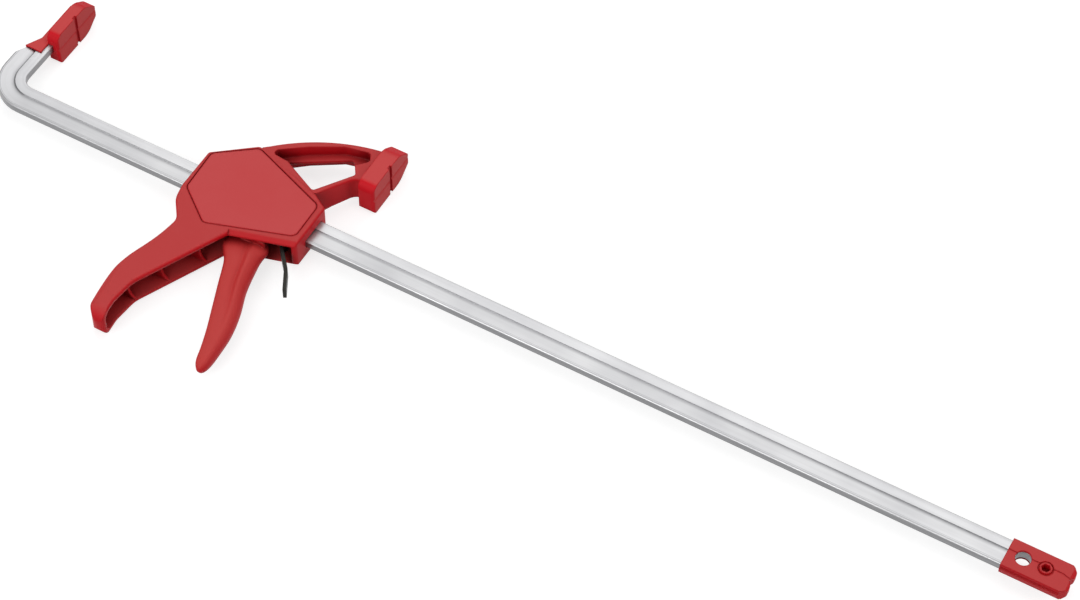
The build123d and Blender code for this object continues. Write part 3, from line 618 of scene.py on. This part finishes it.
# The grip's paler colour is a painted sheen, and its painted hollow shade also counts the housing, so the
# housing's lip paints a shadow on the grip's root.
grip_plastic = plastic(
    "red_plastic_grip", linear(200, 27, 34), linear(195, 65, 62), roughness=0.44, grain_depth=0.00003,
    hollow_shade=0.3, steepest=0.1, alone=False,
)
paint(grip, grip_plastic)
pin_steel = steel(
    "pin_steel_ground", linear(160, 160, 162), linear(140, 140, 142), roughness=0.25, edge_radius=0.0002,
    fineness=1500.0,
)
for node in ("trigger_pivot_pin", "trigger_thrust_pin", "lever_fulcrum_pin"):
    nodes[node].data.materials[0] = pin_steel

# Drive plates, spring and guide
# Three hardened plates grip the bar as the trigger pushes them. A coil spring over a
# black moulded guide pushes them and the trigger back.
dark_steel = steel(
    "dark_steel_oiled", linear(50, 49, 46), linear(38, 37, 35), roughness=0.46, edge_radius=0.0003,
    fineness=1100.0,
)
for node in ("drive_plate_front", "drive_plate_middle", "drive_plate_rear"):
    nodes[node].data.materials[0] = dark_steel
nodes["drive_spring_guide"].data.materials[0] = plastic(
    "black_plastic_moulded", linear(24, 24, 25), linear(34, 34, 35), roughness=0.5, grain_depth=0.00003
)
spring_steel = steel(
    "spring_steel_plated", linear(156, 156, 158), linear(134, 134, 138), roughness=0.3, edge_radius=0.0001,
    fineness=2500.0,
)
spring_inputs = [
    ("Turns", number), ("Radius", number), ("Wire", number), ("Length", number), ("Start", vector),
    ("Finish", "NodeSocketMaterial"),
]
points_per_turn = 32
points_round_wire = 10


def spring_winding():
    """The winding machine: wire carried round a spiral, laid along X."""
    tree = bpy.data.node_groups.new("spring_winding", "GeometryNodeTree")
    for label, kind in spring_inputs:
        tree.interface.new_socket(label, in_out="INPUT", socket_type=kind)
    tree.interface.new_socket("Spring", in_out="OUTPUT", socket_type="NodeSocketGeometry")
    given = add_node(tree, "NodeGroupInput")
    spiral = add_node(tree, "GeometryNodeCurveSpiral")
    spiral.inputs["Resolution"].default_value = points_per_turn
    link(tree, given.outputs["Turns"], spiral.inputs["Rotations"])
    link(tree, given.outputs["Radius"], spiral.inputs["Start Radius"])
    link(tree, given.outputs["Radius"], spiral.inputs["End Radius"])
    link(tree, given.outputs["Length"], spiral.inputs["Height"])
    wire = add_node(tree, "GeometryNodeCurvePrimitiveCircle")
    wire.inputs["Resolution"].default_value = points_round_wire
    link(tree, given.outputs["Wire"], wire.inputs["Radius"])
    drawn = add_node(tree, "GeometryNodeCurveToMesh")
    drawn.inputs["Fill Caps"].default_value = True
    link(tree, spiral.outputs["Curve"], drawn.inputs["Curve"])
    link(tree, wire.outputs["Curve"], drawn.inputs["Profile Curve"])
    laid = add_node(tree, "GeometryNodeTransform")
    laid.inputs["Rotation"].default_value = (0.0, math.pi / 2, 0.0)
    link(tree, drawn.outputs["Mesh"], laid.inputs["Geometry"])
    link(tree, given.outputs["Start"], laid.inputs["Translation"])
    whole = add_node(tree, "GeometryNodeRealizeInstances")
    link(tree, laid.outputs["Geometry"], whole.inputs["Geometry"])
    finish = add_node(tree, "GeometryNodeSetMaterial")
    link(tree, whole.outputs["Geometry"], finish.inputs["Geometry"])
    link(tree, given.outputs["Finish"], finish.inputs["Material"])
    link(tree, finish.outputs["Geometry"], add_node(tree, "NodeGroupOutput").inputs["Spring"])
    return tree


winding = spring_winding()


def spring(node, wire, turns):
    """A coil spring in the place of the CAD one."""
    low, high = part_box(node)
    middle_y = (low.y + high.y) / 2
    piece = placed(node + "_wound", bpy.data.meshes.new(node + "_wound"))
    values = {
        "Turns": float(turns), "Radius": (high.y - low.y) / 2 - wire, "Wire": wire,
        "Length": high.x - low.x - 2 * wire, "Start": (low.x + wire, middle_y, 0.0), "Finish": spring_steel,
    }
    wound = piece.modifiers.new("winding", "NODES")
    wound.node_group = winding
    for item in winding.interface.items_tree:
        if item.in_out == "INPUT":
            wound[item.identifier] = values[item.name]
    plain(piece)
    smooth(piece, angle=60.0)
    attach(piece, "head")
    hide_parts(node)
    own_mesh(piece)


spring("drive_spring", wire=0.0006, turns=8)

# Release lever and its spring
# A strip of dark hardened steel with a window for the bar. A light coil spring leans it
# on the bar, so it brakes the head until its narrow tail is pushed towards the handle.
paint(moulded("release_lever", "release_lever", radius=0.0003), dark_steel)
spring("brake_spring", wire=0.0004, turns=5)

# Floor
# A pale sheet under the clamp. It shows white to the camera and in reflections, and it
# keeps the clamp's own shadow.
floor_gap = 0.0002
floor_half = 7.0
floor_height = cad_low.z - floor_gap
floor_corners = [(-floor_half, -floor_half), (floor_half, -floor_half), (floor_half, floor_half),
                 (-floor_half, floor_half)]
paper_dull = (0.40, 0.40, 0.40)
paper_clean = (0.43, 0.43, 0.43)
paper_glow = 0.75


def seen_directly(tree):
    """A mask that is 1 to the camera, in reflections and through clear pieces."""
    rays = add_node(tree, "ShaderNodeLightPath")
    seen = compute(tree, "ADD", rays.outputs["Is Camera Ray"], rays.outputs["Is Glossy Ray"])
    return compute(tree, "ADD", seen, rays.outputs["Is Transmission Ray"])


sheet_mesh = bpy.data.meshes.new("floor")
sheet_mesh.from_pydata([(x, y, floor_height) for x, y in floor_corners], [], [(0, 1, 2, 3)])
floor = placed("floor", sheet_mesh)
floor_paint, tree, shader, place = new_material("floor_paper", metallic=0.0, specular=0.0)
fibres = spread(tree, noise(tree, place, scale=40.0, detail=3.0), given=(0.3, 0.7), wanted=(0.0, 1.0))
link(tree, mixed(tree, fibres, paper_dull, paper_clean), shader.inputs["Base Color"])
shader.inputs["Roughness"].default_value = 0.9
shader.inputs["Emission Color"].default_value = (1.0, 1.0, 1.0, 1.0)
link(tree, compute(tree, "MULTIPLY", seen_directly(tree), paper_glow), shader.inputs["Emission Strength"])
sheet_mesh.materials.append(floor_paint)

# Light
# A soft white room: a broad panel above and behind the clamp, which its flat faces and
# the bar mirror, and weaker ones on the side of the handle and on the end cap's side.
world = bpy.data.worlds.new("room")
bpy.context.scene.world = world
world.use_nodes = True
tree = world.node_tree
tree.nodes.clear()
air = add_node(tree, "ShaderNodeBackground")
air.inputs["Color"].default_value = (1.0, 1.0, 1.0, 1.0)
unseen_room = 0.30
seen_room = compute(tree, "MULTIPLY", seen_directly(tree), 1.0 - unseen_room)
link(tree, compute(tree, "ADD", unseen_room, seen_room), air.inputs["Strength"])
link(tree, air.outputs[0], add_node(tree, "ShaderNodeOutputWorld").inputs["Surface"])
clamp_middle = Vector((-0.42, 0.0, 0.0))


def panel(name, azimuth, elevation, distance, size, power):
    """A square lamp panel that faces the clamp from a direction."""
    lamp = bpy.data.lights.new(name, "AREA")
    lamp.shape = "SQUARE"
    lamp.size = size
    lamp.energy = power
    turned = math.radians(azimuth)
    raised = math.radians(elevation)
    way = Vector((math.sin(turned) * math.cos(raised), math.cos(turned) * math.cos(raised), math.sin(raised)))
    holder = placed(name, lamp)
    holder.location = clamp_middle + way * distance
    holder.rotation_euler = way.to_track_quat("Z", "Y").to_euler()


panel("panel_above", azimuth=-20.0, elevation=62.0, distance=2.6, size=2.6, power=25.0)
panel("panel_handle_side", azimuth=-160.0, elevation=35.0, distance=2.4, size=1.6, power=24.0)
panel("panel_front", azimuth=85.0, elevation=30.0, distance=2.6, size=1.4, power=16.0)

# Camera
# It stands where the photographer stood, above the bar's lower end and the handle side,
# with the bar running from the lower right to the upper left.
camera_place = Vector((0.20936, -1.02042, 1.59634))
camera_azimuth = math.radians(28.59)
camera_elevation = math.radians(53.21)
camera_roll = math.radians(-1.06)
right = Vector((math.cos(camera_azimuth), math.sin(camera_azimuth), 0.0))
back = Vector((math.sin(camera_azimuth) * math.cos(camera_elevation),
               -math.cos(camera_azimuth) * math.cos(camera_elevation), math.sin(camera_elevation)))
up = back.cross(right)
turned_right = right * math.cos(camera_roll) - up * math.sin(camera_roll)
turned_up = right * math.sin(camera_roll) + up * math.cos(camera_roll)
lens = bpy.data.cameras.new("camera")
lens.lens = 100.0
lens.sensor_width = 36.0
camera = placed("camera", lens)
camera_turn = Matrix((turned_right, turned_up, back)).transposed()
camera.matrix_world = Matrix.Translation(camera_place) @ camera_turn.to_4x4()
bpy.context.scene.camera = camera
bpy.context.scene.view_settings.view_transform = "Standard"
